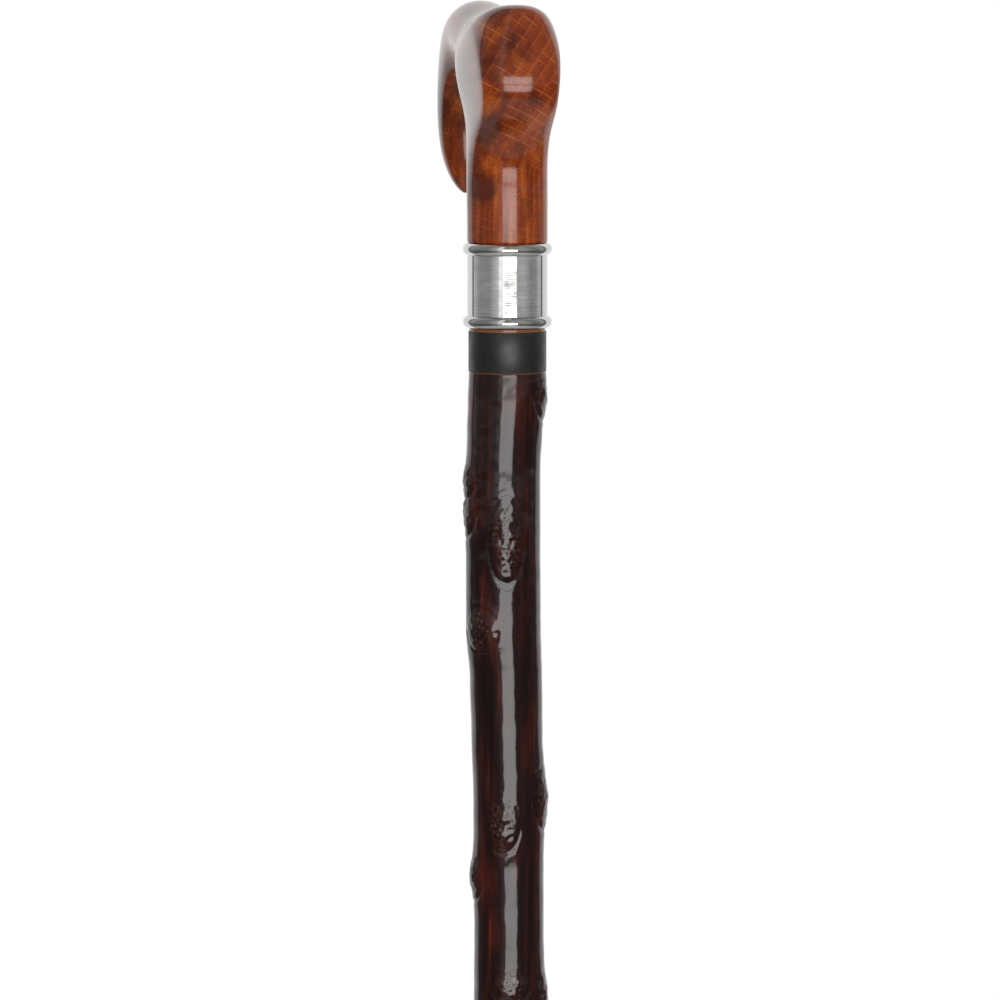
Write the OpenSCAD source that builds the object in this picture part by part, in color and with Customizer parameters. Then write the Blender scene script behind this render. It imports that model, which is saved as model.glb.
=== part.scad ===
// Walking cane with a derby handle: a carved hardwood handle, a polished metal
// collar, a knotty tapered shaft and a pull-off rubber tip.
// Z runs up the cane from the sole of the tip. The hook points to -X, the heel to +X.

/* [Whole cane] */
// Height from the sole of the tip to the top of the handle
cane_h = 914; // [860:1:960]

/* [Handle] */
// Height of the handle above the collar
handle_h = 68.6; // [64:0.2:74]
// Diameter of the handle's neck where it meets the collar
neck_d = 23; // [22:0.1:25]
// Depth of the round spigot that enters the collar
spigot_l = 6; // [4:0.5:8]

/* [Collar] */
// Height of the collar
collar_l = 24.3; // [20:0.1:32]
// How much narrower the tube of the collar is than the neck
collar_inset = 0.14; // [0:0.02:0.6]
// Wall of the collar's tube
collar_wall = 0.9; // [0.7:0.1:1.4]
// Thickness of the round bead at each end of the collar
bead_d = 3.6; // [2.8:0.1:4.4]
// How far each bead stands out beyond the tube
bead_out = 1.27; // [0.8:0.01:1.6]

/* [Joining rod] */
// Diameter of the steel rod through the joint
rod_d = 8; // [6:0.5:9]
// Length of the steel rod
rod_l = 80; // [70:1:90]
// Length of the rod above the top of the collar
rod_up = 36; // [30:1:40]
// Number of glue grooves round each half of the rod
rod_grooves = 4; // [2:1:6]
// Plain length of the rod at both ends of each row of grooves
rod_plain = 5; // [3:0.5:8]

/* [Shaft] */
// Diameter of the shaft under the collar
shaft_d = 22.2; // [21.6:0.1:22.6]
// Diameter of the shaft where it enters the tip
shaft_low_d = 18.7; // [18.4:0.1:20]
// Depth of the turned cut that seats the printed band
band_seat = 0.2; // [0.1:0.05:0.4]
// Diameter of the turned foot inside the tip
foot_d = 18; // [17:0.1:18.2]
// Length of the turned foot
foot_l = 34; // [32:0.5:38]
// Spacing of the outlines along the shaft
ring_step = 6; // [6:0.5:9]
// Points round each outline of the shaft
ring_points = 26; // [22:1:28]

/* [Band] */
// Height of the dark band round the shaft
band_l = 11.5; // [8:0.1:14]
// Bare wood between the collar and the band
band_gap = 0.9; // [0.4:0.1:3]
// Thickness of the band's film
band_t = 0.18; // [0.14:0.02:0.3]

/* [Rubber tip] */
// Height of the rubber tip
tip_h = 42; // [40:0.5:46]
// Diameter of the sole
tip_base_d = 33; // [31:0.5:38]
// Diameter of the tip's sleeve
tip_sleeve_d = 25; // [24:0.5:27]
// Thickness of rubber under the washer
sole_t = 10; // [8:0.5:11]
// Thickness of the steel washer under the foot
washer_t = 1.5; // [1:0.1:2]

/* [Fits] */
// Gap between the foot and the bore of the tip, per side
foot_fit = 0.05; // [0.02:0.01:0.1]
// Glue line round the rod, the tenon and the band, per side
glue_fit = 0.03; // [0.02:0.01:0.05]
// Space between the end of the foot and the washer
foot_rest = 0.3; // [0.3:0.05:0.6]

/* [Hidden] */
$fn = 72;
eps = 0.5;

// Sizes that follow from the ones above
collar_top = cane_h - handle_h;
collar_low = collar_top - collar_l;
tube_r = neck_d / 2 - collar_inset / 2;
bore_r = tube_r - collar_wall;
tenon_r = bore_r - glue_fit;
rod_bore_r = rod_d / 2 + glue_fit;
rod_low = collar_top + rod_up - rod_l;
band_top = collar_low - band_gap;
band_low = band_top - band_l;
band_r = shaft_d / 2 - band_seat;
loft_top = band_low - 0.2;
foot_low = sole_t + washer_t + foot_rest;
loft_low = foot_low + foot_l;
first_d = collar_top - loft_top;
last_d = collar_top - loft_low;
tip_bore_r = foot_d / 2 + foot_fit;

// The handle's outline in the XZ plane, in mm above the collar for a neck of 23 and a
// height of 68.6. Each row joins a point on the outer line to one on the inner line:
// outer x, outer z, inner x, inner z, half width, depth of the outer and inner rounding,
// and how square the outer rounding is: 2 is an ellipse, more gives a flatter face
handle_rows = [
  [ 11.5,  -7.0, -11.5,  -7.0, 11.5, 11.5, 11.5, 2.0],
  [ 11.5,   0.0, -11.5,   0.0, 11.5, 11.5, 11.5, 2.0],
  [ 11.5,   7.0, -11.5,   7.0, 11.5, 11.5, 11.5, 2.0],
  [ 11.2,  14.0, -11.7,  12.5, 11.6, 11.5, 11.5, 2.0],
  [ 11.2,  21.5, -12.7,  18.0, 11.5, 11.5, 11.5, 2.0],
  [ 13.4,  28.0, -14.4,  23.5, 11.4, 11.5, 11.5, 2.0],
  [ 19.5,  33.2, -16.8,  29.0, 11.2, 11.0, 11.5, 2.1],
  [ 26.3,  37.0, -19.2,  33.5, 11.1,  9.0, 11.5, 2.3],
  [ 29.4,  43.0, -21.7,  37.3, 11.5,  8.0, 11.5, 2.4],
  [ 28.6,  50.5, -24.2,  40.6, 12.2,  9.0, 11.4, 2.5],
  [ 26.2,  57.5, -26.6,  43.2, 12.5, 13.0, 11.5, 2.6],
  [ 23.4,  63.0, -29.0,  45.3, 12.5, 21.0, 11.5, 2.6],
  [ 20.0,  67.9, -31.5,  47.0, 12.2, 29.0, 11.3, 2.5],
  [  9.0,  67.2, -34.5,  48.4, 11.7, 27.0, 11.1, 2.3],
  [ -5.0,  65.3, -38.0,  49.5, 11.0, 20.0, 10.7, 2.1],
  [-20.0,  65.2, -42.0,  50.2, 10.7, 13.0, 10.5, 2.0],
  [-36.0,  67.5, -46.5,  50.4, 10.3, 10.0, 10.0, 2.0],
  [-53.0,  69.6, -53.0,  49.0,  9.8,  9.3,  9.5, 2.0],
  [-70.0,  65.5, -60.0,  45.0,  9.4,  8.8,  9.0, 2.0],
  [-82.0,  54.5, -65.5,  38.0,  9.0,  8.6,  8.8, 2.0],
  [-86.0,  40.0, -67.5,  29.5,  8.9,  8.6,  8.6, 2.0],
  [-85.5,  27.0, -68.0,  22.5,  8.2,  8.0,  8.0, 2.0],
  [-82.3,  17.6, -69.0,  17.6,  6.2,  6.0,  6.0, 2.0],
  [-78.3,  12.4, -71.0,  13.0,  3.3,  3.3,  3.3, 2.0],
  [-75.2,  11.0, -73.2,  11.2,  0.9,  0.9,  0.9, 2.0],
  [-74.2,  10.9, -74.0,  10.9,  0.1,  0.1,  0.1, 2.0]
];
handle_steps = 3;
handle_points = 40;

// How the shaft wanders and tapers: distance below the top of the collar, offset to X,
// offset to Y, and radius for a shaft that thins from 22.2 to 18.7
shaft_rows = [
  [ 37,  0.0,  0.0, 11.10],
  [ 45,  0.1, -0.3, 11.10],
  [ 54,  0.2, -0.8, 10.85],
  [ 64,  0.3, -1.2, 10.65],
  [ 85,  0.4, -1.3, 10.75],
  [110,  0.3, -1.2, 10.80],
  [126,  0.1, -0.4, 10.45],
  [140, -0.1, -0.1, 10.30],
  [160, -0.3,  0.4, 10.20],
  [192, -0.6,  0.6, 10.05],
  [215, -0.8,  0.6, 10.15],
  [262, -0.5,  1.1, 10.05],
  [330,  0.8,  0.2,  9.95],
  [400,  1.5, -1.1,  9.90],
  [470,  1.7, -0.6,  9.75],
  [540,  0.8,  1.0,  9.75],
  [610, -0.5,  1.5,  9.60],
  [680, -1.1,  0.6,  9.55],
  [740, -0.7, -0.3,  9.45],
  [800,  0.0,  0.0,  9.35]
];

// The knots: distance below the top of the collar, angle round the shaft,
// height, half length and half width as an angle
knots = [
  [ 44,   78, 0.60,  6.0, 34],
  [ 62,  172, 0.80,  7.0, 30],
  [ 68,  -96, 1.00,  4.5, 34],
  [ 77,  -94, 0.70,  6.5, 32],
  [ 84,   -4, 0.60, 11.0, 24],
  [110,  -50, 0.60,  5.5, 28],
  [132,  148, 0.90,  7.5, 32],
  [159,   76, 1.25,  8.5, 36],
  [166,  -18, 0.60,  7.0, 24],
  [182,  -96, 1.20,  6.5, 34],
  [199,  166, 0.80,  7.0, 30],
  [213,   -6, 0.50,  4.0, 28],
  [219,   76, 1.35,  8.5, 36],
  [258, -150, 0.90,  8.0, 32],
  [283,   20, 0.80,  7.0, 30],
  [318,  120, 1.00,  8.5, 32],
  [352,  -60, 0.90,  8.0, 30],
  [381,  170, 0.80,  7.0, 30],
  [421,   40, 1.00,  8.0, 30],
  [455, -110, 0.90,  8.0, 32],
  [497,   80, 0.80,  7.0, 30],
  [528,  -20, 0.90,  8.0, 30],
  [566, -170, 0.80,  8.0, 30],
  [603,   60, 0.90,  7.0, 32],
  [641,  -80, 0.80,  8.0, 30],
  [682,  150, 0.80,  7.0, 30],
  [716,   10, 0.70,  7.0, 30],
  [750, -120, 0.60,  6.5, 30]
];

// Closed skin through a list of outlines that all have the same number of points
module loft(rings) {
  n = len(rings[0]);
  m = len(rings);
  points = [for (ring = rings) each ring];
  sides = [
    for (i = [0 : m - 2], k = [0 : n - 1])
      let (a = i * n + k, b = i * n + (k + 1) % n)
        each [[a, a + n, b + n], [a, b + n, b]]
  ];
  first = [for (k = [1 : n - 2]) [0, k, k + 1]];
  last = [for (k = [1 : n - 2]) [(m - 1) * n, (m - 1) * n + k + 1, (m - 1) * n + k]];
  polyhedron(points, concat(sides, first, last));
}

// Row of the handle at a place u between the rows, as a smooth curve through the table
function smooth_row(u) =
  let (i = min(floor(u), len(handle_rows) - 3), t = u - i)
    (pow(1 - t, 3) * handle_rows[i - 1]
     + (3 * pow(t, 3) - 6 * t * t + 4) * handle_rows[i]
     + (-3 * pow(t, 3) + 3 * t * t + 3 * t + 1) * handle_rows[i + 1]
     + pow(t, 3) * handle_rows[i + 2]) / 6;

// Value raised to a power with its sign kept: 2 leaves it as it is
function squared(v, power) = sign(v) * pow(abs(v), 2 / power);

// One outline of the handle: two rounded ends with slightly crowned sides between them
function handle_ring(row) =
  let (
    outer = [row[0], row[1]],
    inner = [row[2], row[3]],
    half = norm(outer - inner) / 2,
    dir = (outer - inner) / (2 * half),
    mid = (outer + inner) / 2,
    fit = min(1, 2 * half / (row[5] + row[6])),
    a = half - row[5] * fit,
    b = -half + row[6] * fit,
    grow = neck_d / 23,
    lift = handle_h / 68.6
  )
    [for (k = [0 : handle_points - 1])
      let (
        c = cos(360 * k / handle_points),
        power = c > 0 ? row[7] : 2,
        side = max(-1, min(1, c / 0.309)),
        s = (a + b) / 2 + (a - b) / 2 * side + (c > 0 ? row[5] : row[6]) * fit * squared(c, power),
        w = row[4] * squared(sin(360 * k / handle_points), power)
      )
        [(mid[0] + dir[0] * s) * grow, w * grow, (mid[1] + dir[1] * s) * lift]];

// Row of the shaft at a distance d below the top of the collar
function shaft_row(d, i = 0) =
  d <= shaft_rows[i + 1][0] || i == len(shaft_rows) - 2
    ? let (
        u = (d - shaft_rows[i][0]) / (shaft_rows[i + 1][0] - shaft_rows[i][0]),
        s = max(0, min(1, u * u * (3 - 2 * u)))
      ) shaft_rows[i] + (shaft_rows[i + 1] - shaft_rows[i]) * s
    : shaft_row(d, i + 1);

// Height of all knots together at a distance d and an angle a
function knot_height(d, a) =
  let (
    each_one = [for (k = knots)
      let (turn = abs((a - k[1] + 540) % 360 - 180))
        k[2] * exp(-pow((d - k[0]) / k[3], 2) - pow(turn / k[4], 2))]
  )
    [for (one = each_one) 1] * each_one;

// One outline of the shaft, a share u of the way down it; the knots fade out at both ends
function shaft_ring(u) =
  let (
    from = shaft_rows[0],
    to = shaft_rows[len(shaft_rows) - 1],
    row = shaft_row(from[0] + (to[0] - from[0]) * u),
    size = row[3] + (shaft_d / 2 - from[3]) * (1 - u) + (shaft_low_d / 2 - to[3]) * u,
    d = first_d + (last_d - first_d) * u,
    fade = max(0, min(1, (d - first_d + 1) / 3, (last_d - d) / 12))
  )
    [for (k = [0 : ring_points - 1])
      let (a = 360 * k / ring_points, r = size + fade * knot_height(d, a))
        [row[1] + r * cos(a), row[2] + r * sin(a), collar_top - d]];

// Carved handle with a turned spigot and the bore for the rod
module handle() {
  color("#8a3f1c")
  translate([0, 0, collar_top])
  difference() {
    union() {
      loft([for (u = [handle_steps : (len(handle_rows) - 2) * handle_steps])
        handle_ring(smooth_row(u / handle_steps))]);
      translate([0, 0, -spigot_l]) cylinder(r = tenon_r, h = spigot_l);
    }
    translate([0, 0, -spigot_l - eps]) cylinder(r = rod_bore_r, h = spigot_l + eps + rod_up + 1);
  }
}

// Steel rod with glue grooves and chamfered ends
module joining_rod() {
  r = rod_d / 2;
  pitch = (rod_l / 2 - 2 * rod_plain) / rod_grooves;
  groove_z = [for (side = [0, rod_l / 2], k = [0 : rod_grooves - 1])
    side + rod_plain + pitch * (k + 0.5)];
  color("#9a9ca0")
  translate([0, 0, rod_low])
  rotate_extrude()
  polygon(concat(
    [[0, 0], [r - 0.8, 0], [r, 0.8]],
    [for (z = groove_z) each [[r, z - 0.9], [r - 0.4, z - 0.5], [r - 0.4, z + 0.5], [r, z + 0.9]]],
    [[r, rod_l - 0.8], [r - 0.8, rod_l], [0, rod_l]]
  ));
}

// Polished collar: a thin tube with a round bead at each end
module collar() {
  bead_r = tube_r + bead_out - bead_d / 2;
  color("#c9cbce")
  translate([0, 0, collar_low])
  rotate_extrude()
  difference() {
    union() {
      translate([bore_r, 0]) square([collar_wall, collar_l]);
      translate([bead_r, bead_d / 2]) circle(d = bead_d);
      translate([bead_r, collar_l - bead_d / 2]) circle(d = bead_d);
    }
    translate([0, -1]) square([bore_r, collar_l + 2]);
  }
}

// Knotty shaft with a tenon for the collar, a seat for the band and a turned foot
module shaft() {
  steps = ceil((last_d - first_d) / ring_step);
  tenon_top = collar_top - spigot_l - 0.1;
  color("#35150f")
  difference() {
    union() {
      loft([for (i = [steps : -1 : 0]) shaft_ring(i / steps)]);
      translate([0, 0, loft_top]) cylinder(r = band_r, h = collar_low - loft_top);
      translate([0, 0, collar_low]) cylinder(r = tenon_r, h = tenon_top - collar_low);
      translate([0, 0, foot_low + 1]) cylinder(d = foot_d, h = foot_l - 1);
      translate([0, 0, foot_low]) cylinder(d1 = foot_d - 2, d2 = foot_d, h = 1);
    }
    translate([0, 0, rod_low]) cylinder(r = rod_bore_r, h = rod_l);
  }
}

// Thin dark film wrapped round the shaft under the collar
module label_band() {
  inner = band_r + glue_fit;
  color("#1c1c1c")
  translate([0, 0, band_low])
  difference() {
    cylinder(r = inner + band_t, h = band_l);
    translate([0, 0, -eps]) cylinder(r = inner, h = band_l + 2 * eps);
  }
}

// Rubber tip: a sleeve with a lip, a flared foot and ring grooves in the sole
module rubber_tip() {
  base_r = tip_base_d / 2;
  sleeve_r = tip_sleeve_d / 2;
  flare = [for (k = [0 : 8])
    let (a = 90 * k / 8)
      [base_r - 0.4 - (base_r - 0.4 - sleeve_r) * sin(a), 18 - 12 * cos(a)]];
  color("#202022")
  difference() {
    rotate_extrude()
    polygon(concat(
      [[0, 0], [base_r - 1.2, 0], [base_r, 1.2], [base_r, 5], [base_r - 0.4, 6]],
      [for (k = [1 : 8]) flare[k]],
      [[sleeve_r, tip_h - 5], [sleeve_r + 0.7, tip_h - 4.3], [sleeve_r + 0.7, tip_h - 1],
       [sleeve_r - 0.3, tip_h], [0, tip_h]]
    ));
    translate([0, 0, sole_t]) cylinder(r = tip_bore_r, h = tip_h);
    translate([0, 0, tip_h - 0.8])
      cylinder(r1 = tip_bore_r, r2 = tip_bore_r + 1.2, h = 1.2);
    for (r = [5, 9, 13])
      translate([0, 0, -eps])
      difference() {
        cylinder(r = r + 1.6, h = eps + 1.4);
        translate([0, 0, -eps]) cylinder(r = r, h = 3 * eps + 1.4);
      }
  }
}

// Steel washer that keeps the foot from cutting through the rubber
module tip_washer() {
  color("#a5a7aa")
  translate([0, 0, sole_t])
  difference() {
    cylinder(r = foot_d / 2 - 0.3, h = washer_t);
    translate([0, 0, -eps]) cylinder(d = 5, h = washer_t + 2 * eps);
  }
}

handle();
joining_rod();
collar();
shaft();
label_band();
rubber_tip();
tip_washer();
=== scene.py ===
# %% [markdown]
# # A walking cane with a derby handle
# The cane has five pieces that show: a carved hardwood handle, a polished metal collar, a
# dark film band, a knotty shaft and a rubber tip. A steel rod and a washer sit inside. The
# CAD frame gives their sizes and places. Here each piece is modelled again with a finer
# surface and gets its finish.

import math

import bmesh
import bpy
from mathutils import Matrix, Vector, noise


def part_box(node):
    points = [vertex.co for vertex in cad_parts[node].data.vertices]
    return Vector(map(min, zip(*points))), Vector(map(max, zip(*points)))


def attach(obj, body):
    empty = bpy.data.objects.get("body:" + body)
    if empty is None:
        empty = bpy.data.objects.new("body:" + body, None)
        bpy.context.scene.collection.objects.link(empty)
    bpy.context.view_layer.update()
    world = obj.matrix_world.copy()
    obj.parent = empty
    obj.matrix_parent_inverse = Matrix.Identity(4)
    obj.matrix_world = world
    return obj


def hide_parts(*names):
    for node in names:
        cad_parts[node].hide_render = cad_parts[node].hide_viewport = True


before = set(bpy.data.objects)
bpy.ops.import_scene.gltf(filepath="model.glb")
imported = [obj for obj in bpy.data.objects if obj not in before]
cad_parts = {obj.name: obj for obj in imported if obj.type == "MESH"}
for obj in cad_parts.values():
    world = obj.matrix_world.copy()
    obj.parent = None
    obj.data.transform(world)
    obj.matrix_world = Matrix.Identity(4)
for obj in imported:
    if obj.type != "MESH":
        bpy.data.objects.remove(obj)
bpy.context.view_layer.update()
MM = 0.001
collar_low, collar_top = (corner.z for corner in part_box("collar"))
band_low, band_top = (corner.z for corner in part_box("label_band"))
shaft_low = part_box("shaft")[0].z
print("collar from", round(collar_low, 4), "to", round(collar_top, 4))

# %% [markdown]
# ## Small helpers
# Colours are written as sRGB hex, the way a designer reads them off a screen, and one
# function turns them to the linear values that the renderer mixes. One more function adds
# a shader node, sets it up and links it, so that a finish reads as a short recipe.

# %% Helpers for colours and nodes
def srgb(code):
    parts = [int(code[i : i + 2], 16) / 255 for i in (1, 3, 5)]
    return [p / 12.92 if p <= 0.04045 else ((p + 0.055) / 1.055) ** 2.4 for p in parts] + [1.0]


def add(tree, kind, inputs=None, **settings):
    made = tree.nodes.new(kind)
    for name, value in settings.items():
        setattr(made, name, value)
    for key, value in (inputs or {}).items():
        if isinstance(value, bpy.types.NodeSocket):
            tree.links.new(value, made.inputs[key])
        else:
            made.inputs[key].default_value = value
    return made


def stops(node, *pairs):
    band = node.color_ramp
    while len(band.elements) < len(pairs):
        band.elements.new(1.0)
    for element, (place, colour) in zip(band.elements, pairs):
        element.position = place
        element.color = srgb(colour) if isinstance(colour, str) else [colour] * 3 + [1.0]
    return node


def ramp(tree, value, *pairs):
    """The colour that a ramp through these stops gives for the value."""
    return stops(add(tree, "ShaderNodeValToRGB", {"Fac": value}), *pairs).outputs["Color"]


# %% [markdown]
# ## Camera
# The picture is taken from a little above the handle, almost in line with it, so the heel
# faces the lens and the hook shows at the left, behind the neck. A long lens at about a
# metre and a half keeps the shaft's sides parallel.

# %% Camera
AZIMUTH, ELEVATION, DISTANCE, FRAME_WIDTH = 81.0, 5.4, 1.506, 0.2857
az, el = math.radians(AZIMUTH), math.radians(ELEVATION)
to_camera = Vector((math.sin(az) * math.cos(el), -math.cos(az) * math.cos(el), math.sin(el)))
to_right = Vector((math.cos(az), math.sin(az), 0))
aim = Vector((0, 0, 0.7718)) + to_right * -0.0021
camera = bpy.data.objects.new("camera", bpy.data.cameras.new("camera"))
bpy.context.scene.collection.objects.link(camera)
camera.location = aim + to_camera * DISTANCE
camera.rotation_mode = "QUATERNION"
camera.rotation_quaternion = (-to_camera).to_track_quat("-Z", "Y")
camera.data.sensor_width = 36
camera.data.lens = 36 * DISTANCE / FRAME_WIDTH
bpy.context.scene.camera = camera
bpy.context.scene.view_settings.view_transform = "Standard"
print("lens", round(camera.data.lens, 1), "mm")

# %% [markdown]
# ## Light
# Such a cane is photographed in front of a white sweep: everything behind it is white, and
# the room in front is greyer. Lacquer and polished metal show this room, so the world is
# drawn by direction: white behind, a dark seam where the sweep ends, and grey walls in
# front that are brightest level with the collar. The camera itself sees plain white.

# %% World
world = bpy.data.worlds.new("studio")
bpy.context.scene.world = world
world.use_nodes = True
tree = world.node_tree
tree.nodes.clear()
ray = add(tree, "ShaderNodeTexCoord").outputs["Generated"]
front = Vector((to_camera.x, to_camera.y, 0)).normalized()
ahead = add(tree, "ShaderNodeVectorMath", {0: ray, 1: front}, operation="DOT_PRODUCT").outputs["Value"]
aside = add(tree, "ShaderNodeVectorMath", {0: ray, 1: to_right}, operation="DOT_PRODUCT").outputs["Value"]
turn = add(tree, "ShaderNodeMath", {0: aside, 1: ahead}, operation="ARCTAN2").outputs["Value"]
turn = add(tree, "ShaderNodeMapRange", {"Value": turn, "From Min": -math.pi, "From Max": math.pi}).outputs["Result"]
walls = ramp(
    tree,
    turn,
    *[(0.5 + angle / 360, level) for angle, level in (
        (-118, 0.80), (-105, 0.62), (-88, 0.43), (-52, 0.43), (-39, 0.69), (-27, 0.95), (-21, 1.9),
        (-16, 1.7), (-10, 0.95), (-4, 0.45), (6, 0.5), (13, 0.70), (22, 0.50), (34, 0.66), (50, 0.66),
        (72, 0.40), (92, 0.45), (101, 0.72), (107, 0.65))],
)
rise = add(tree, "ShaderNodeSeparateXYZ", {0: ray}).outputs[2]
rise = add(tree, "ShaderNodeMapRange", {"Value": rise, "From Min": -0.2, "From Max": 0.2}).outputs["Result"]
belt = ramp(
    tree, rise, (0.0, 0.25), (0.32, 0.25), (0.335, 1.0), (0.395, 1.0), (0.41, 0.5), (1.0, 0.6)
)
both = {"Factor": 1.0, "A": walls, "B": belt}
walls = add(tree, "ShaderNodeMix", both, data_type="RGBA", blend_type="MULTIPLY").outputs[2]
away = add(tree, "ShaderNodeMapRange", {"Value": ahead, "From Min": -0.35, "From Max": -0.60}).outputs["Result"]
sweep = ramp(tree, away, (0.0, 0.0), (0.22, 0.0), (0.30, 0.2), (0.62, 0.2), (0.74, 1.0))
behind = add(tree, "ShaderNodeMath", {0: away, 1: 0.2}, operation="GREATER_THAN").outputs["Value"]
both = {"Factor": behind, "A": walls, "B": sweep}
room = add(tree, "ShaderNodeMix", both, data_type="RGBA").outputs[2]
paths = add(tree, "ShaderNodeLightPath").outputs
seen = add(tree, "ShaderNodeBackground", {"Color": srgb("#FFFFFF"), "Strength": 1.0}).outputs[0]
mirrored = add(tree, "ShaderNodeBackground", {"Color": room, "Strength": 1.0}).outputs[0]
lighting = add(tree, "ShaderNodeBackground", {"Color": srgb("#FFFFFF"), "Strength": 0.42}).outputs[0]
shiny = add(tree, "ShaderNodeMixShader", {0: paths["Is Glossy Ray"], 1: lighting, 2: mirrored}).outputs[0]
either = {0: paths["Is Camera Ray"], 1: paths["Is Transmission Ray"]}
straight = add(tree, "ShaderNodeMath", either, operation="MAXIMUM").outputs[0]
final = add(tree, "ShaderNodeMixShader", {0: straight, 1: shiny, 2: seen}).outputs[0]
add(tree, "ShaderNodeOutputWorld", {"Surface": final})

# %% [markdown]
# Two soft boxes stand one above the other behind the camera. The upper one draws the
# highlights of heel and neck, the lower one the long highlight of the shaft. The slot
# between them lies where the collar's tube mirrors the room, so the metal stays calm.

# %% Soft boxes and floor
def soft_box(name, turn_deg, low, high, power, distance=1.75, width=1.25):
    a = az + math.radians(turn_deg)
    away = Vector((math.sin(a), -math.cos(a), 0))
    lamp = bpy.data.objects.new(name, bpy.data.lights.new(name, "AREA"))
    bpy.context.scene.collection.objects.link(lamp)
    lamp.data.shape, lamp.data.size, lamp.data.size_y, lamp.data.energy = "RECTANGLE", width, high - low, power
    lamp.location = away * distance + Vector((0, 0, (low + high) / 2))
    lamp.rotation_mode = "QUATERNION"
    lamp.rotation_quaternion = away.to_track_quat("Z", "Y")
    return lamp


soft_box("upper_box", 7, 0.768, 1.18, 9.0)
soft_box("lower_box", 7, 0.20, 0.705, 11.0)
bpy.ops.object.select_all(action="DESELECT")
bpy.ops.mesh.primitive_circle_add(vertices=96, radius=1.0, fill_type="NGON", location=(0, 0, 0))
floor = bpy.context.object
floor.name = "floor"
paper = bpy.data.materials.new("white paper sweep")
paper.use_nodes = True
paper.node_tree.nodes["Principled BSDF"].inputs["Base Color"].default_value = srgb("#EDEBE8")
paper.node_tree.nodes["Principled BSDF"].inputs["Roughness"].default_value = 0.9
floor.data.materials.append(paper)

# %% [markdown]
# ## Handle
# A derby handle is carved from one block: a round neck that swells into an upturned heel,
# a saddle for the palm and a long hook that thins to a rounded tip. It could be sculpted,
# but its outline from the side says nearly all of it. So a ring is extruded along the
# handle, and each new ring is fitted between a point of the outer line and one of the
# inner line. The rings fan out round the arch like the leaves of a book.

# %% The handle's outlines
# outer x, outer z, inner x, inner z, half width, depth of the outer and inner rounding, in
# mm, and how square the rounding is: 2 is an ellipse, more gives a flatter face
HANDLE = [
    (11.5, -7.0, -11.5, -7.0, 11.5, 11.5, 11.5, 2.0),
    (11.5, 0.0, -11.5, 0.0, 11.5, 11.5, 11.5, 2.0),
    (11.5, 7.0, -11.5, 7.0, 11.5, 11.5, 11.5, 2.0),
    (11.2, 14.0, -11.7, 12.5, 11.6, 11.5, 11.5, 2.0),
    (11.2, 21.5, -12.7, 18.0, 11.5, 11.5, 11.5, 2.0),
    (13.4, 28.0, -14.4, 23.5, 11.4, 11.5, 11.5, 2.0),
    (19.5, 33.2, -16.8, 29.0, 11.2, 11.0, 11.5, 2.1),
    (26.3, 37.0, -19.2, 33.5, 11.1, 9.0, 11.5, 2.3),
    (29.4, 43.0, -21.7, 37.3, 11.5, 8.0, 11.5, 2.4),
    (28.6, 50.5, -24.2, 40.6, 12.2, 9.0, 11.4, 2.5),
    (26.2, 57.5, -26.6, 43.2, 12.5, 13.0, 11.5, 2.6),
    (23.4, 63.0, -29.0, 45.3, 12.5, 21.0, 11.5, 2.6),
    (20.0, 67.9, -31.5, 47.0, 12.2, 29.0, 11.3, 2.5),
    (9.0, 67.2, -34.5, 48.4, 11.7, 27.0, 11.1, 2.3),
    (-5.0, 65.3, -38.0, 49.5, 11.0, 20.0, 10.7, 2.1),
    (-20.0, 65.2, -42.0, 50.2, 10.7, 13.0, 10.5, 2.0),
    (-36.0, 67.5, -46.5, 50.4, 10.3, 10.0, 10.0, 2.0),
    (-53.0, 69.6, -53.0, 49.0, 9.8, 9.3, 9.5, 2.0),
    (-70.0, 65.5, -60.0, 45.0, 9.4, 8.8, 9.0, 2.0),
    (-82.0, 54.5, -65.5, 38.0, 9.0, 8.6, 8.8, 2.0),
    (-86.0, 40.0, -67.5, 29.5, 8.9, 8.6, 8.6, 2.0),
    (-85.5, 27.0, -68.0, 22.5, 8.2, 8.0, 8.0, 2.0),
    (-82.3, 17.6, -69.0, 17.6, 6.2, 6.0, 6.0, 2.0),
    (-78.3, 12.4, -71.0, 13.0, 3.3, 3.3, 3.3, 2.0),
    (-75.2, 11.0, -73.2, 11.2, 0.9, 0.9, 0.9, 2.0),
    (-74.2, 10.9, -74.0, 10.9, 0.1, 0.1, 0.1, 2.0),
]
AROUND = 40


def smooth_row(rows, u):
    i = min(int(u), len(rows) - 3)
    t = u - i
    parts = ((1 - t) ** 3, 3 * t**3 - 6 * t * t + 4, -3 * t**3 + 3 * t * t + 3 * t + 1, t**3)
    return [sum(p * rows[i - 1 + k][c] for k, p in enumerate(parts)) / 6 for c in range(len(rows[0]))]


def squared(value, power):
    return math.copysign(abs(value) ** (2 / power), value)


def handle_ring(row):
    ox, oz, ix, iz, width, deep_out, deep_in, square = row
    half = math.hypot(ox - ix, oz - iz) / 2
    dx, dz = (ox - ix) / (2 * half), (oz - iz) / (2 * half)
    fit = min(1, 2 * half / (deep_out + deep_in))
    a, b = half - deep_out * fit, -half + deep_in * fit
    ring = []
    for k in range(AROUND):
        c, s = math.cos(math.tau * k / AROUND), math.sin(math.tau * k / AROUND)
        power = square if c > 0 else 2.0
        deep = deep_out if c > 0 else deep_in
        along = (a + b) / 2 + (a - b) / 2 * max(-1, min(1, c / 0.309)) + deep * fit * squared(c, power)
        ring.append(Vector(((ox + ix) / 2 + dx * along, width * squared(s, power), (oz + iz) / 2 + dz * along)) * MM)
    return [p + Vector((0, 0, collar_top)) for p in ring]


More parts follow.
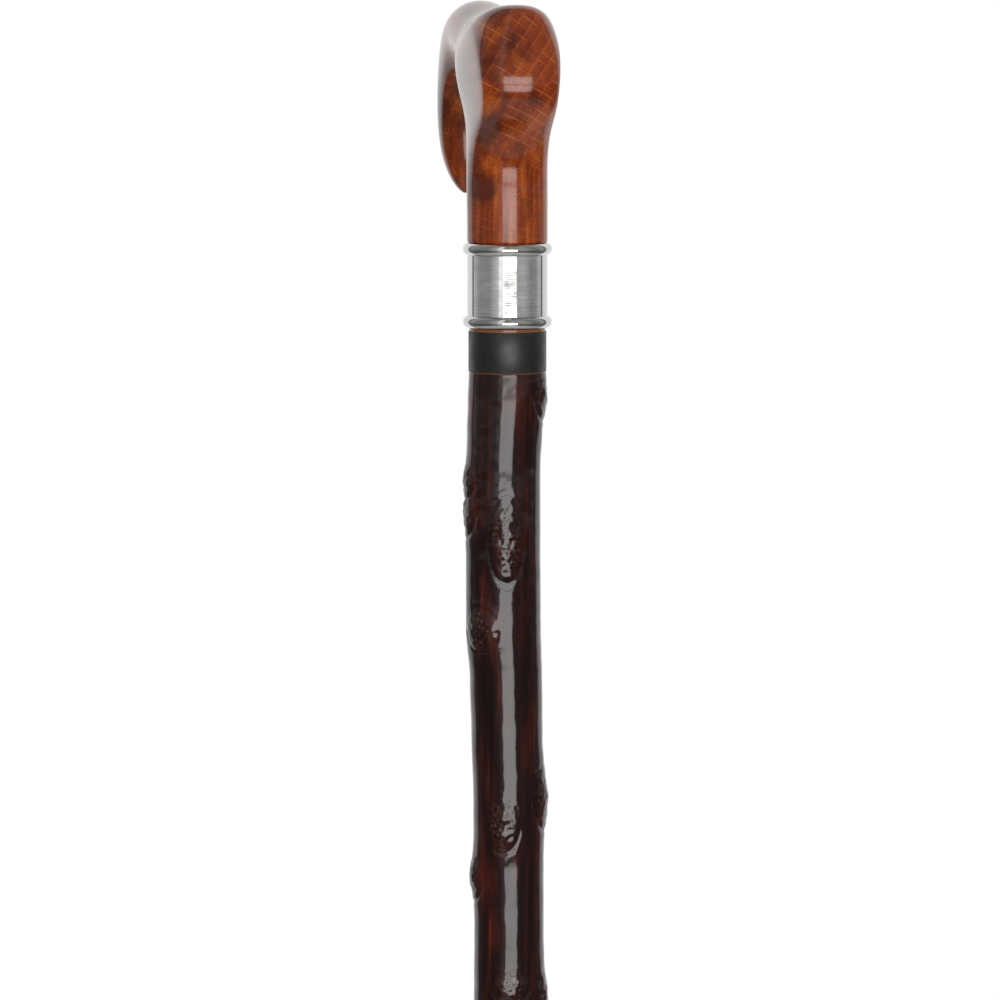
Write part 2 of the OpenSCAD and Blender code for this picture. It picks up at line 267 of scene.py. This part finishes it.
def round_ring(radius, z, around, x=0.0, y=0.0):
    angles = (math.tau * k / around for k in range(around))
    return [Vector((x + radius * math.cos(a), y + radius * math.sin(a), z)) * MM for a in angles]


# %% Extrude a ring through a list of outlines
def extrude_through(name, rings):
    """Starts from a circle and extrudes it once for each outline. Both ends are closed."""
    bpy.ops.object.select_all(action="DESELECT")
    bpy.ops.mesh.primitive_circle_add(vertices=len(rings[0]), radius=0.01, fill_type="NOTHING")
    obj = bpy.context.object
    obj.name = obj.data.name = name
    bpy.ops.object.mode_set(mode="EDIT")
    for step, ring in enumerate(rings):
        bpy.ops.mesh.select_mode(type="EDGE")
        if step:
            bpy.ops.mesh.extrude_region_move()
        mesh = bmesh.from_edit_mesh(obj.data)
        fresh = sorted((v for v in mesh.verts if v.select), key=lambda v: v.index)
        if step == 0:
            fresh.sort(key=lambda v: math.atan2(v.co.y, v.co.x) % math.tau)
            for v, place in zip(fresh, ring):
                v.co = place
            last = {v: i for i, v in enumerate(fresh)}
        else:
            here = {}
            for v in fresh:
                back = next(e.other_vert(v) for e in v.link_edges if e.other_vert(v) in last)
                here[v] = last[back]
            for v, i in here.items():
                v.co = ring[i]
            last = here
        bmesh.update_edit_mesh(obj.data)
    bpy.ops.mesh.edge_face_add()
    bpy.ops.mesh.select_all(action="DESELECT")
    bpy.ops.mesh.select_non_manifold()
    bpy.ops.mesh.edge_face_add()
    bpy.ops.mesh.select_all(action="SELECT")
    bpy.ops.mesh.normals_make_consistent(inside=False)
    bpy.ops.object.mode_set(mode="OBJECT")
    return obj


def apply_modifier(obj, kind, **settings):
    bpy.context.view_layer.objects.active = obj
    made = obj.modifiers.new(kind.lower(), kind)
    for key, value in settings.items():
        setattr(made, key, value)
    bpy.ops.object.modifier_apply(modifier=made.name)


def smooth(obj, angle=30):
    bpy.ops.object.select_all(action="DESELECT")
    obj.select_set(True)
    bpy.context.view_layer.objects.active = obj
    bpy.ops.object.shade_smooth_by_angle(angle=math.radians(angle))


def finish_piece(obj, node, body, material):
    obj.data.materials.clear()
    obj.data.materials.append(material)
    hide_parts(node)
    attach(obj, body)
    print(obj.name, len(obj.data.polygons), "faces, reach", [round(v, 4) for v in obj.dimensions])


# %% Carve the handle
# the spigot in the collar and the neck's lower edge come first, as pairs of height and radius
top = collar_top / MM
spigot = [
    (-6, 8.5), (-6, 9.9), (-5.6, 10.45), (-5.2, 10.5), (-0.6, 10.5), (-0.1, 10.5),
    (0, 10.6), (0, 11.1), (0.1, 11.35), (0.4, 11.5), (0.9, 11.5),
]
rings = [round_ring(r, top + z, AROUND) for z, r in spigot]
rings += [handle_ring(smooth_row(HANDLE, u / 3)) for u in range(4, (len(HANDLE) - 2) * 3 + 1)]
handle = extrude_through("handle_carved", rings)
apply_modifier(handle, "SUBSURF", levels=2, render_levels=2)
smooth(handle)

# %% [markdown]
# ## Stained hardwood for the handle
# The grip's fibres run from heel to hook, so the heel shows end grain: the growth rings as
# leaning bands, crossed by the fine pale rays that run out from the heart of the tree. A
# picture wrapped round the handle would not agree from side to side. The wood is drawn as
# a solid block instead, with rings and rays round one axis, and the shape cuts through it.
# The stain sinks in unevenly: in long upright streaks on the neck, in dark clouds on the heel.

# %% Handle wood
def new_material(name):
    made = bpy.data.materials.new(name)
    made.use_nodes = True
    tree = made.node_tree
    tree.nodes.clear()
    shader = add(tree, "ShaderNodeBsdfPrincipled")
    add(tree, "ShaderNodeOutputMaterial", {"Surface": shader.outputs[0]})
    place = add(tree, "ShaderNodeTexCoord").outputs["Object"]
    return made, tree, shader, place


def in_mm(tree, place, size, shift=(0, 0, 0)):
    """The place divided by a size in millimetres for each direction, so one unit is that size."""
    scale = [1000 / s for s in size]
    at = [-shift[i] * scale[i] for i in range(3)]
    return add(tree, "ShaderNodeMapping", {"Vector": place, "Location": at, "Scale": scale}).outputs[0]


def between(tree, value, low, high, to_low=0.0, to_high=1.0):
    """The value mapped from one range to another and held at its ends."""
    spread = {"Value": value, "From Min": low, "From Max": high, "To Min": to_low, "To Max": to_high}
    return add(tree, "ShaderNodeMapRange", spread).outputs[0]


def cloud(tree, place, size, detail=2.0):
    """Soft noise whose blots have about this size in millimetres."""
    blots = {"Vector": in_mm(tree, place, size), "Scale": 1.0, "Detail": detail}
    return add(tree, "ShaderNodeTexNoise", blots).outputs["Fac"]


def blend(tree, factor, one, other):
    return add(tree, "ShaderNodeMix", {"Factor": factor, "A": one, "B": other}, data_type="RGBA").outputs[2]


def times(tree, one, other):
    return add(tree, "ShaderNodeMath", {0: one, 1: other}, operation="MULTIPLY").outputs[0]


def bump(tree, height, strength, distance, under=None):
    """Relief of this strength, laid over another relief if there is one."""
    relief = {"Height": height, "Strength": strength, "Distance": distance}
    if under is not None:
        relief["Normal"] = under
    return add(tree, "ShaderNodeBump", relief).outputs[0]


handle_wood, tree, shader, place = new_material("red stained oak under lacquer")
pith = (0, 0.112, collar_top - 0.022)
wide = {"Vector": in_mm(tree, place, (80, 26, 26)), "Scale": 1.0, "Detail": 1.0}
soft = add(tree, "ShaderNodeTexNoise", wide).outputs["Color"]
wavy = add(tree, "ShaderNodeVectorMath", {0: soft, 1: (0.5, 0.5, 0.5)}, operation="SUBTRACT").outputs[0]
wavy = add(tree, "ShaderNodeVectorMath", {0: wavy, "Scale": 2.5}, operation="SCALE").outputs[0]
block = in_mm(tree, place, (1, 1, 1), pith)
block = add(tree, "ShaderNodeVectorMath", {0: block, 1: wavy}, operation="ADD").outputs[0]
split = add(tree, "ShaderNodeSeparateXYZ", {0: block}).outputs
across = add(tree, "ShaderNodeCombineXYZ", {1: split[1], 2: split[2]}).outputs[0]
radius = add(tree, "ShaderNodeVectorMath", {0: across}, operation="LENGTH").outputs["Value"]
angle = add(tree, "ShaderNodeMath", {0: split[2], 1: split[1]}, operation="ARCTAN2").outputs[0]
where = add(tree, "ShaderNodeSeparateXYZ", {0: place}).outputs
on_neck = between(tree, where[2], collar_top + 0.036, collar_top + 0.017)
# growth rings about 3.2 mm wide, each with a thin paler line
ring_saw = add(tree, "ShaderNodeMath", {0: radius, 1: 3.2}, operation="DIVIDE").outputs[0]
ring_saw = add(tree, "ShaderNodeMath", {0: ring_saw}, operation="FRACT").outputs[0]
ring_tone = ramp(
    tree, ring_saw, (0.0, "#B0561F"), (0.06, "#A04A1A"), (0.13, "#762A0E"),
    (0.55, "#84340F"), (0.93, "#8E3C12"), (1.0, "#B0561F"),
)
# rays about 2.5 mm apart where they reach the handle, each a third of a millimetre thick
ray_saw = times(tree, angle, 52.0)
ray_saw = add(tree, "ShaderNodeMath", {0: ray_saw}, operation="FRACT").outputs[0]
ray_line = ramp(tree, ray_saw, (0.0, 1.0), (0.06, 0.9), (0.13, 0.0), (1.0, 0.0))
ray_line = times(tree, ray_line, between(tree, cloud(tree, place, (30, 8, 4), 1.0), 0.42, 0.60))
ray_line = times(tree, ray_line, between(tree, on_neck, 0.0, 1.0, 0.85, 0.25))
clouds = cloud(tree, place, (40, 9, 9), 3.0)
blotch = ramp(tree, clouds, (0.30, "#5A1C0A"), (0.50, "#8C3A12"), (0.70, "#B05820"))
tone = blend(tree, 0.45, blotch, ring_tone)
# upright streaks of stain on the neck
upright = cloud(tree, place, (1.6, 1.6, 38), 3.0)
streaks = ramp(
    tree, upright, (0.32, "#5C1E0B"), (0.46, "#863610"), (0.60, "#A04C18"), (0.74, "#B96428")
)
tone = blend(tree, times(tree, on_neck, 0.75), tone, streaks)
tone = blend(tree, ray_line, tone, srgb("#BC6A30"))
# dark clouds, more of them towards the hook side of the heel
dark = {0: cloud(tree, place, (30, 7, 8), 3.0), 1: between(tree, where[1], 0.004, -0.010, 0.0, 0.14)}
gloom = add(tree, "ShaderNodeMath", dark, operation="ADD").outputs[0]
tone = blend(tree, between(tree, gloom, 0.54, 0.72, 0.0, 0.8), tone, srgb("#42160A"))
# pores: short dark dashes along the fibres, dots on the end grain
pores = between(tree, cloud(tree, place, (4, 0.4, 0.4), 1.0), 0.62, 0.74)
tone = blend(tree, pores, tone, srgb("#3A1106"))
grain_height = add(tree, "ShaderNodeBump", {"Height": pores, "Strength": 0.12, "Distance": 0.0002})
grain_height.invert = True
ripple = bump(tree, cloud(tree, place, (1.1, 1.1, 1.6), 2.0), 0.10, 0.0003, grain_height.outputs[0])
shader.inputs["Base Color"].default_value = srgb("#8A3C16")
tree.links.new(tone, shader.inputs["Base Color"])
tree.links.new(ripple, shader.inputs["Normal"])
shader.inputs["Roughness"].default_value = 0.5
shader.inputs["Specular IOR Level"].default_value = 0.0
shader.inputs["Coat Weight"].default_value = 1.0
shader.inputs["Coat Roughness"].default_value = 0.13
shader.inputs["Coat IOR"].default_value = 1.45
finish_piece(handle, "handle", "cane", handle_wood)

# %% [markdown]
# ## Shaft
# The shaft is a natural stem with its knots left on. It wanders a little, thins towards the
# foot, and each knot is a low swelling with a scar. The stem is extruded ring by ring along
# that line, closer together where the knots are seen from near, and then subdivided. The
# knots are raised on the fine surface, with a wrinkle of bark under each.

# %% The stem's line and its knots
# distance below the collar's top, offset to X, offset to Y, radius, in mm
STEM = [
    (37, 0, 0, 11.1), (45, 0.1, -0.3, 11.1), (54, 0.2, -0.8, 10.85), (64, 0.3, -1.2, 10.65),
    (85, 0.4, -1.3, 10.75), (110, 0.3, -1.2, 10.8), (126, 0.1, -0.4, 10.45), (140, -0.1, -0.1, 10.3),
    (160, -0.3, 0.4, 10.2), (192, -0.6, 0.6, 10.05), (215, -0.8, 0.6, 10.15), (262, -0.5, 1.1, 10.05),
    (330, 0.8, 0.2, 9.95), (400, 1.5, -1.1, 9.9), (470, 1.7, -0.6, 9.75), (540, 0.8, 1, 9.75),
    (610, -0.5, 1.5, 9.6), (680, -1.1, 0.6, 9.55), (740, -0.7, -0.3, 9.45), (800, 0, 0, 9.35),
]
# distance below the collar's top, angle round the stem, height, half length, half width as an angle
KNOTS = [
    (44, 78, 0.6, 6, 34), (62, 172, 0.8, 7, 30), (68, -96, 1, 4.5, 34), (77, -94, 0.7, 6.5, 32),
    (84, -4, 0.6, 11, 24), (110, -50, 0.6, 5.5, 28), (132, 148, 0.9, 7.5, 32), (159, 76, 1.25, 8.5, 36),
    (166, -18, 0.6, 7, 24), (182, -96, 1.2, 6.5, 34), (199, 166, 0.8, 7, 30), (213, -6, 0.5, 4, 28),
    (219, 76, 1.35, 8.5, 36), (258, -150, 0.9, 8, 32), (283, 20, 0.8, 7, 30), (318, 120, 1, 8.5, 32),
    (352, -60, 0.9, 8, 30), (381, 170, 0.8, 7, 30), (421, 40, 1, 8, 30), (455, -110, 0.9, 8, 32),
    (497, 80, 0.8, 7, 30), (528, -20, 0.9, 8, 30), (566, -170, 0.8, 8, 30), (603, 60, 0.9, 7, 32),
    (641, -80, 0.8, 8, 30), (682, 150, 0.8, 7, 30), (716, 10, 0.7, 7, 30), (750, -120, 0.6, 6.5, 30),
]
foot_length = 34.0
stem_end = (collar_top - shaft_low) / MM - foot_length
stem_start = (collar_top - band_low) / MM + 0.2
seat_radius = 10.9


def stem_row(d):
    first, last = STEM[0][0], STEM[-1][0]
    d = first + (last - first) * (d - stem_start) / (stem_end - stem_start)
    for low, high in zip(STEM, STEM[1:]):
        if d <= high[0] or high is STEM[-1]:
            u = max(0, min(1, (d - low[0]) / (high[0] - low[0])))
            s = u * u * (3 - 2 * u)
            return [p + (q - p) * s for p, q in zip(low, high)]


# above and below the natural stem come the turned parts: the tenon in the collar, the seat
# of the band and the foot in the rubber tip, as pairs of distance and radius
foot = stem_end + foot_length
turned_top = [
    (6.1, 8.8), (6.1, 9.9), (6.5, 10.45), (7, 10.5), (23.6, 10.5), (24.2, 10.5), (24.3, 10.6),
    (24.3, seat_radius - 0.1), (24.4, seat_radius), (25, seat_radius), (36.2, seat_radius),
    (stem_start - 0.1, seat_radius),
]
turned_foot = [
    (stem_end + 0.1, 9.0), (stem_end + 0.6, 9.0), (foot - 1.6, 9.0), (foot - 1, 9.0),
    (foot - 0.1, 8.1), (foot, 7.9), (foot, 7.0),
]
# the rings lie closer together over the length that is seen from near
seen_end, seen_rings, far_rings, sides = 225, 94, 70, 32
stations = [stem_start + (seen_end - stem_start) * i / seen_rings for i in range(seen_rings)]
stations += [seen_end + (stem_end - seen_end) * i / far_rings for i in range(far_rings + 1)]
rings = [round_ring(r, top - d, sides) for d, r in turned_top]
for d in stations:
    row = stem_row(d)
    rings.append(round_ring(row[3], top - d, sides, row[1], row[2]))
rings += [round_ring(r, top - d, sides) for d, r in turned_foot]
shaft = extrude_through("shaft_stem", rings[::-1])
apply_modifier(shaft, "SUBSURF", levels=2, render_levels=2)

# %% Raise the knots and the bark's relief
knot_mark = shaft.data.attributes.new("knot", "FLOAT", "POINT")
turned_mark = shaft.data.attributes.new("turned", "FLOAT", "POINT")
for v in shaft.data.vertices:
    d = (collar_top - v.co.z) / MM
    if d < stem_start or d > stem_end:
        turned_mark.data[v.index].value = 1.0
        continue
    row = stem_row(d)
    out = Vector((v.co.x - row[1] * MM, v.co.y - row[2] * MM, 0))
    if out.length < 0.008:
        continue
    a = math.degrees(math.atan2(out.y, out.x))
    fade = max(0, min(1, (d - stem_start + 1) / 3, (stem_end - d) / 12))
    height, mark, wrinkle = 0.0, 0.0, 0.0
    for kd, ka, kh, length, width in KNOTS:
        if abs(d - kd) < 3 * length:
            turn = (a - ka + 540) % 360 - 180
            near = math.hypot((d - kd) / length, turn / width)
            height += kh * math.exp(-near * near)
            mark = max(mark, math.exp(-near * near))
            wrinkle += math.exp(-(((near - 1.15) / 0.10) ** 2)) * (0.26 if d > kd else 0.08)
    rough = noise.noise(Vector((out.x * 260, out.y * 260, d * 0.26)))
    fine = noise.noise(Vector((out.x * 900, out.y * 900, d * 0.8)))
    height += mark * (0.30 * rough + 0.26 * fine) + 0.06 * rough - wrinkle
    knot_mark.data[v.index].value = mark
    v.co += out.normalized() * height * fade * MM
smooth(shaft, 60)

# %% Dark bark wood
shaft_wood, tree, shader, place = new_material("dark hazel stem with its bark under lacquer")
threads = cloud(tree, place, (1.8, 1.8, 22), 4.0)
streak = ramp(tree, threads, (0.34, "#120808"), (0.50, "#1D0D0C"), (0.63, "#3C150F"), (0.78, "#702A17"))
patches = cloud(tree, place, (8, 8, 26), 3.0)
patch = ramp(tree, patches, (0.36, "#150A09"), (0.54, "#220E0C"), (0.74, "#5C2012"))
tone = blend(tree, 0.5, streak, patch)
knot_seen = add(tree, "ShaderNodeAttribute", attribute_name="knot").outputs["Fac"]
# knot scars: dark rough wood, with pale mauve speckles that are painted highlights, the glints of the soft boxes on
# the rough scar
speck = cloud(tree, place, (0.9, 0.9, 1.1), 4.0)
scar_with_painted_glints = ramp(tree, speck, (0.36, "#0C0606"), (0.50, "#241210"), (0.62, "#4A2A20"), (0.74, "#8A7468"))
knot_mix = between(tree, knot_seen, 0.35, 0.8, 0.0, 0.85)
tone = blend(tree, knot_mix, tone, scar_with_painted_glints)
bare = add(tree, "ShaderNodeAttribute", attribute_name="turned").outputs["Fac"]
tone = blend(tree, bare, tone, srgb("#7A4A2C"))
relief = bump(tree, cloud(tree, place, (0.8, 0.8, 9), 3.0), 0.3, 0.0003)
relief = bump(tree, speck, times(tree, knot_mix, 0.9), 0.0006, relief)
tree.links.new(tone, shader.inputs["Base Color"])
tree.links.new(relief, shader.inputs["Normal"])
shader.inputs["Roughness"].default_value = 0.5
shader.inputs["Specular IOR Level"].default_value = 0.0
shader.inputs["Coat Weight"].default_value = 1.0
shader.inputs["Coat Roughness"].default_value = 0.12
shader.inputs["Coat IOR"].default_value = 1.45
finish_piece(shaft, "shaft", "cane", shaft_wood)

# %% [markdown]
# ## Turned and moulded pieces
# The collar, the band, the tip, the washer and the rod are all round. Each is an outline of
# radius and height that is spun once round the cane's axis. An outline that starts and ends
# on the axis is left open there, and its ends close to a point.

# %% Spin an outline
def spin(name, outline, closed=True, steps=96):
    bpy.ops.object.select_all(action="DESELECT")
    bpy.ops.mesh.primitive_circle_add(vertices=len(outline), radius=0.01, fill_type="NOTHING")
    obj = bpy.context.object
    obj.name = obj.data.name = name
    bpy.ops.object.mode_set(mode="EDIT")
    mesh = bmesh.from_edit_mesh(obj.data)
    mesh.verts.ensure_lookup_table()
    for v, (r, z) in zip(mesh.verts, outline):
        v.co = Vector((r, 0, z)) * MM
    if not closed:
        bpy.ops.mesh.select_mode(type="EDGE")
        bpy.ops.mesh.select_all(action="DESELECT")
        for e in mesh.edges:
            if {v.index for v in e.verts} == {0, len(outline) - 1}:
                e.select_set(True)
        bpy.ops.mesh.delete(type="EDGE_FACE")
    bpy.ops.mesh.select_all(action="SELECT")
    bpy.ops.mesh.spin(steps=steps, angle=math.tau, center=(0, 0, 0), axis=(0, 0, 1))
    bpy.ops.mesh.select_all(action="SELECT")
    bpy.ops.mesh.remove_doubles(threshold=0.000002)
    bpy.ops.mesh.normals_make_consistent(inside=False)
    bpy.ops.object.mode_set(mode="OBJECT")
    return obj


def arc(r, z, size, start, end, parts):
    """Points on a circle about (r, z), from one angle to another in degrees."""
    angles = (math.radians(start + (end - start) * k / parts) for k in range(parts + 1))
    return [(r + size * math.cos(a), z + size * math.sin(a)) for a in angles]


# %% Collar: a thin tube between two round beads
low, high = collar_low / MM, collar_top / MM
tube, bead, bead_middle, bore = 11.43, 1.8, 10.9, 10.53
meets_tube = math.degrees(math.acos((tube - bead_middle) / bead))
meets_bore = math.degrees(math.acos((bore - bead_middle) / bead))
outline = arc(bead_middle, low + bead, bead, -meets_bore, meets_tube, 24)
outline += arc(bead_middle, high - bead, bead, -meets_tube, meets_bore, 24)
collar = spin("collar_turned", outline, steps=128)
smooth(collar, 40)
polished, tree, shader, place = new_material("polished nickel plate")
tone = blend(tree, cloud(tree, place, (9, 9, 9), 2.0), srgb("#BDBEBC"), srgb("#D2D3D1"))
lines = bump(tree, cloud(tree, place, (40, 40, 0.3), 1.0), 0.04, 0.0001)
tree.links.new(tone, shader.inputs["Base Color"])
tree.links.new(between(tree, cloud(tree, place, (4, 4, 2), 3.0), 0.3, 0.7, 0.05, 0.11), shader.inputs["Roughness"])
tree.links.new(lines, shader.inputs["Normal"])
shader.inputs["Metallic"].default_value = 1.0
finish_piece(collar, "collar", "cane", polished)

# %% Band: a thin sleeve of dark film with a soft sheen
low, high, inner, outer = band_low / MM, band_top / MM, seat_radius + 0.03, seat_radius + 0.21
outline = [
    (inner, low), (outer - 0.04, low), (outer, low + 0.06),
    (outer, high - 0.06), (outer - 0.04, high), (inner, high),
]
band = spin("band_film_sleeve", outline, steps=128)
smooth(band, 50)
film, tree, shader, place = new_material("satin black film")
tone = blend(tree, cloud(tree, place, (5, 5, 5), 3.0), srgb("#111110"), srgb("#1F1F1E"))
tree.links.new(tone, shader.inputs["Base Color"])
tree.links.new(between(tree, cloud(tree, place, (2, 2, 3), 3.0), 0.3, 0.7, 0.36, 0.50), shader.inputs["Roughness"])
crease = bump(tree, cloud(tree, place, (3, 3, 1.2), 3.0), 0.12, 0.0002)
tree.links.new(crease, shader.inputs["Normal"])
finish_piece(band, "label_band", "cane", film)

# %% Rubber tip: a sleeve with a lip, a flared foot and ring grooves in the sole
sole = [(0, 0)]
for r in (5, 9, 13):
    sole += [(r - 0.1, 0), (r, 0.1), (r + 0.1, 1.3), (r + 0.3, 1.4)]
    sole += [(r + 1.3, 1.4), (r + 1.5, 1.3), (r + 1.6, 0.1), (r + 1.7, 0)]
side = arc(15.5, 1.0, 1.0, -80, 0, 5) + [(16.5, 4.6), (16.4, 5.4), (16.1, 6.0)]
flare = [(16.1 - 3.6 * math.sin(math.radians(a)), 18 - 12 * math.cos(math.radians(a))) for a in range(6, 91, 6)]
lip = [(12.5, 36.8), (12.6, 37.2)] + arc(12.7, 37.9, 0.5, -60, 0, 4) + arc(12.5, 41.3, 0.7, 0, 90, 5)
mouth = [(9.95, 42), (9.75, 41.92), (9.1, 41.3), (9.05, 41.1), (9.05, 10), (0, 10)]
tip = spin("tip_moulded", sole + side + flare + lip + mouth, closed=False)
smooth(tip, 35)
rubber, tree, shader, place = new_material("moulded black rubber")
tone = blend(tree, cloud(tree, place, (3, 3, 3), 4.0), srgb("#1B1B1C"), srgb("#2C2C2D"))
tree.links.new(tone, shader.inputs["Base Color"])
tree.links.new(between(tree, cloud(tree, place, (4, 4, 4), 2.0), 0.3, 0.7, 0.62, 0.80), shader.inputs["Roughness"])
skin = bump(tree, cloud(tree, place, (0.5, 0.5, 0.5), 2.0), 0.25, 0.0002)
tree.links.new(skin, shader.inputs["Normal"])
finish_piece(tip, "rubber_tip", "tip", rubber)

# %% Steel washer and joining rod, both hidden when the cane is whole
outline = [(2.5, 10.1), (2.6, 10), (8.6, 10), (8.7, 10.1)]
outline += [(8.7, 11.4), (8.6, 11.5), (2.6, 11.5), (2.5, 11.4)]
washer = spin("washer_pressed", outline)
smooth(washer, 50)
zinc, tree, shader, place = new_material("zinc plated steel")
tone = blend(tree, cloud(tree, place, (1.5, 1.5, 1.5), 3.0), srgb("#9A9CA0"), srgb("#B4B7BA"))
tree.links.new(tone, shader.inputs["Base Color"])
tree.links.new(between(tree, cloud(tree, place, (1, 1, 1), 2.0), 0.3, 0.7, 0.28, 0.42), shader.inputs["Roughness"])
shader.inputs["Metallic"].default_value = 1.0
finish_piece(washer, "tip_washer", "tip", zinc)
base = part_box("joining_rod")[0].z / MM
outline = [(0, 0), (3.2, 0), (4, 0.8)]
for start in (8.75, 48.75):
    for k in range(4):
        z = start + 7.5 * k
        outline += [(4, z - 0.9), (3.6, z - 0.5), (3.6, z + 0.5), (4, z + 0.9)]
outline += [(4, 79.2), (3.2, 80), (0, 80)]
rod = spin("rod_turned", [(r, base + z) for r, z in outline], closed=False, steps=64)
smooth(rod, 30)
drawn, tree, shader, place = new_material("plain drawn steel")
tone = blend(tree, cloud(tree, place, (0.6, 0.6, 20), 3.0), srgb("#8A8C8F"), srgb("#A3A5A8"))
tree.links.new(tone, shader.inputs["Base Color"])
dull = between(tree, cloud(tree, place, (0.5, 0.5, 12), 2.0), 0.3, 0.7, 0.30, 0.45)
tree.links.new(dull, shader.inputs["Roughness"])
shader.inputs["Metallic"].default_value = 1.0
finish_piece(rod, "joining_rod", "cane", drawn)
